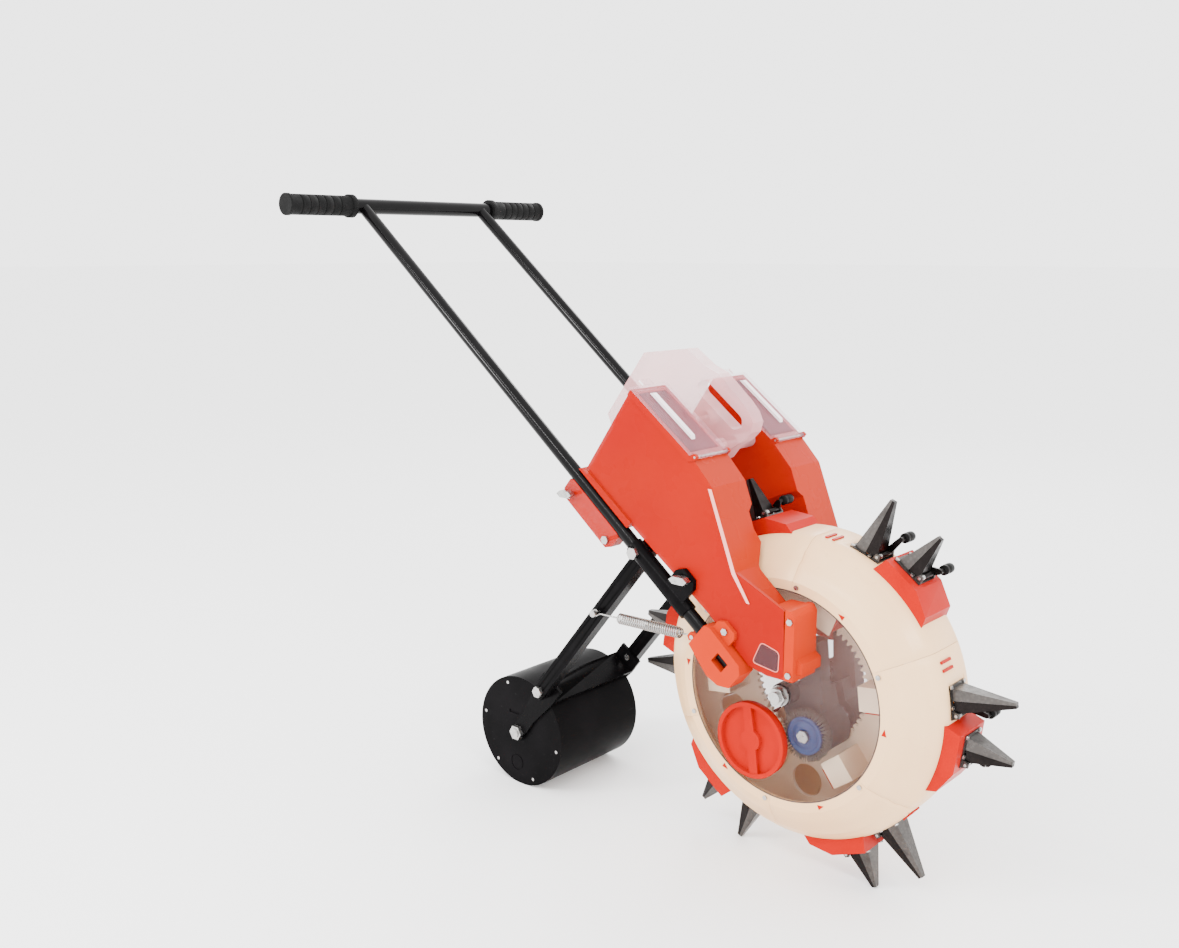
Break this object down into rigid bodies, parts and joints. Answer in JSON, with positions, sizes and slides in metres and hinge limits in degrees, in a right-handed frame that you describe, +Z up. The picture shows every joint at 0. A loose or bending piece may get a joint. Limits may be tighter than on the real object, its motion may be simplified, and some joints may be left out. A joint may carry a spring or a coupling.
{
  "type": "corn planter",
  "caption": "Push-type two-hopper corn planter: a rolling drum with opening duckbills, clear side discs, hinged lids, long T handle and a sprung press roller.",
  "frame": {"origin": "on the ground under the middle of the overall length, on the mid-plane of the drum", "axes": "+X the direction of travel, +Y the machine's left side, +Z up"},
  "size_m": [1.1208, 0.568, 0.96],
  "materials": {
    "black_paint": "semi-gloss black paint",
    "rubber": "matte",
    "orange_moulding": "moulded, semi-gloss",
    "light_orange": "moulded, semi-gloss",
    "orange_translucent": "translucent moulding",
    "clear_plastic": "clear sheet",
    "frosted_plastic": "frosted translucent",
    "natural_plastic": "natural, satin",
    "grey_plastic": "satin",
    "steel": "zinc plated",
    "galvanised": "galvanised sheet",
    "blue_plastic": "hub with grey bristles"
  },
  "bodies": {
    "frame": {"handlebar": "black_paint", "right_pole": "black_paint", "left_pole": "black_paint", "right_grip": "rubber", "left_grip": "rubber", "right_socket": "light_orange", "left_socket": "light_orange", "seed_hopper": "orange_translucent", "fertilizer_hopper": "orange_translucent", "pole_clamps": "orange_translucent", "clamp_sleeves": "black_paint", "side_discs": "clear_plastic", "spout_blocks": "light_orange", "axle": "steel", "frame_bolts": "steel", "centre_guard": "frosted_plastic", "right_metering_case": "grey_plastic", "left_metering_case": "grey_plastic", "right_spring": "steel", "left_spring": "steel"},
    "drum": {"drum_segments": "natural_plastic", "ring_gear": "natural_plastic", "bill_seats": "orange_moulding", "fixed_jaws": "galvanised", "hinge_pins": "steel", "jaw_springs": "steel", "bill_screws": "steel", "seed_scoops": "natural_plastic", "scoop_flaps": "orange_moulding", "seam_clips": "orange_moulding", "drum_screws": "steel", "drum_arrows": "orange_moulding"},
    "metering": {"metering_shaft": "steel", "metering_rings": "grey_plastic", "brush_wheels": "blue_plastic"},
    "right_lid_body": {"right_lid": "clear_plastic"},
    "left_lid_body": {"left_lid": "clear_plastic"},
    "right_cap_body": {"right_cap": "orange_moulding"},
    "left_cap_body": {"left_cap": "orange_moulding"},
    "press_frame": {"press_arms": "black_paint", "arm_bolts": "steel", "yoke": "black_paint", "roller_axle": "steel"},
    "roller": {"roller_shell": "black_paint", "roller_ends": "black_paint", "roller_screws": "steel"},
    "jaw_a1_body": {"jaw_a1": "galvanised"},
    "jaw_a2_body": {"jaw_a2": "galvanised"},
    "jaw_a3_body": {"jaw_a3": "galvanised"},
    "jaw_a4_body": {"jaw_a4": "galvanised"},
    "jaw_a5_body": {"jaw_a5": "galvanised"},
    "jaw_a6_body": {"jaw_a6": "galvanised"},
    "jaw_b1_body": {"jaw_b1": "galvanised"},
    "jaw_b2_body": {"jaw_b2": "galvanised"},
    "jaw_b3_body": {"jaw_b3": "galvanised"},
    "jaw_b4_body": {"jaw_b4": "galvanised"},
    "jaw_b5_body": {"jaw_b5": "galvanised"},
    "jaw_b6_body": {"jaw_b6": "galvanised"}
  },
  "joints": [
    {"name": "drum_spin", "type": "hinge", "parent": "frame", "child": "drum", "pos_m": [0.26656, 0, 0.27504], "axis": [0, 1, 0], "continuous": true},
    {"name": "metering_spin", "type": "hinge", "parent": "frame", "child": "metering", "pos_m": [0.30056, 0, 0.22304], "axis": [0, 1, 0], "continuous": true},
    {"name": "press_arm_swing", "type": "hinge", "parent": "frame", "child": "press_frame", "pos_m": [0.06041, 0, 0.45158], "axis": [0, 1, 0], "range_deg": [0, 10], "stiffness_Nm_per_rad": 70, "springref_deg": -22.92, "deforming": ["right_spring", "left_spring"]},
    {"name": "roller_spin", "type": "hinge", "parent": "press_frame", "child": "roller", "pos_m": [-0.22144, 0, 0.092], "axis": [0, 1, 0], "continuous": true},
    {"name": "right_lid_hinge", "type": "hinge", "parent": "frame", "child": "right_lid_body", "pos_m": [0.15717, -0.0965, 0.59775], "axis": [0, 1, 0], "range_deg": [0, 110]},
    {"name": "left_lid_hinge", "type": "hinge", "parent": "frame", "child": "left_lid_body", "pos_m": [0.15717, 0.0965, 0.59775], "axis": [0, 1, 0], "range_deg": [0, 110]},
    {"name": "right_cap_pull", "type": "slide", "parent": "frame", "child": "right_cap_body", "axis": [0, -1, 0], "range_m": [0, 0.025]},
    {"name": "left_cap_pull", "type": "slide", "parent": "frame", "child": "left_cap_body", "axis": [0, 1, 0], "range_m": [0, 0.025]},
    {"name": "jaw_a1_hinge", "type": "hinge", "parent": "drum", "child": "jaw_a1_body", "pos_m": [0.48965, 0, 0.28614], "axis": [0, 1, 0], "range_deg": [0, 15], "stiffness_Nm_per_rad": 1.5, "springref_deg": -20.05},
    {"name": "jaw_a2_hinge", "type": "hinge", "parent": "drum", "child": "jaw_a2_body", "pos_m": [0.36849, 0, 0.47379], "axis": [0, 1, 0], "range_deg": [0, 15], "stiffness_Nm_per_rad": 1.5, "springref_deg": -20.05},
    {"name": "jaw_a3_hinge", "type": "hinge", "parent": "drum", "child": "jaw_a3_body", "pos_m": [0.1454, 0, 0.46269], "axis": [0, 1, 0], "range_deg": [0, 15], "stiffness_Nm_per_rad": 1.5, "springref_deg": -20.05},
    {"name": "jaw_a4_hinge", "type": "hinge", "parent": "drum", "child": "jaw_a4_body", "pos_m": [0.04347, 0, 0.26393], "axis": [0, 1, 0], "range_deg": [0, 15], "stiffness_Nm_per_rad": 1.5, "springref_deg": -20.05},
    {"name": "jaw_a5_hinge", "type": "hinge", "parent": "drum", "child": "jaw_a5_body", "pos_m": [0.16463, 0, 0.07628], "axis": [0, 1, 0], "range_deg": [0, 15], "stiffness_Nm_per_rad": 1.5, "springref_deg": -20.05},
    {"name": "jaw_a6_hinge", "type": "hinge", "parent": "drum", "child": "jaw_a6_body", "pos_m": [0.38772, 0, 0.08739], "axis": [0, 1, 0], "range_deg": [0, 15], "stiffness_Nm_per_rad": 1.5, "springref_deg": -20.05},
    {"name": "jaw_b1_hinge", "type": "hinge", "parent": "drum", "child": "jaw_b1_body", "pos_m": [0.50528, 0, 0.22452], "axis": [0, 1, 0], "range_deg": [0, 15], "stiffness_Nm_per_rad": 1.5, "springref_deg": -20.05},
    {"name": "jaw_b2_hinge", "type": "hinge", "parent": "drum", "child": "jaw_b2_body", "pos_m": [0.42967, 0, 0.45651], "axis": [0, 1, 0], "range_deg": [0, 15], "stiffness_Nm_per_rad": 1.5, "springref_deg": -20.05},
    {"name": "jaw_b3_hinge", "type": "hinge", "parent": "drum", "child": "jaw_b3_body", "pos_m": [0.19095, 0, 0.50703], "axis": [0, 1, 0], "range_deg": [0, 15], "stiffness_Nm_per_rad": 1.5, "springref_deg": -20.05},
    {"name": "jaw_b4_hinge", "type": "hinge", "parent": "drum", "child": "jaw_b4_body", "pos_m": [0.02785, 0, 0.32555], "axis": [0, 1, 0], "range_deg": [0, 15], "stiffness_Nm_per_rad": 1.5, "springref_deg": -20.05},
    {"name": "jaw_b5_hinge", "type": "hinge", "parent": "drum", "child": "jaw_b5_body", "pos_m": [0.10346, 0, 0.09356], "axis": [0, 1, 0], "range_deg": [0, 15], "stiffness_Nm_per_rad": 1.5, "springref_deg": -20.05},
    {"name": "jaw_b6_hinge", "type": "hinge", "parent": "drum", "child": "jaw_b6_body", "pos_m": [0.34217, 0, 0.04305], "axis": [0, 1, 0], "range_deg": [0, 15], "stiffness_Nm_per_rad": 1.5, "springref_deg": -20.05}
  ],
  "couplings": [
    {"joint": "metering_spin", "follows": "drum_spin", "ratio": 3.5}
  ]
}
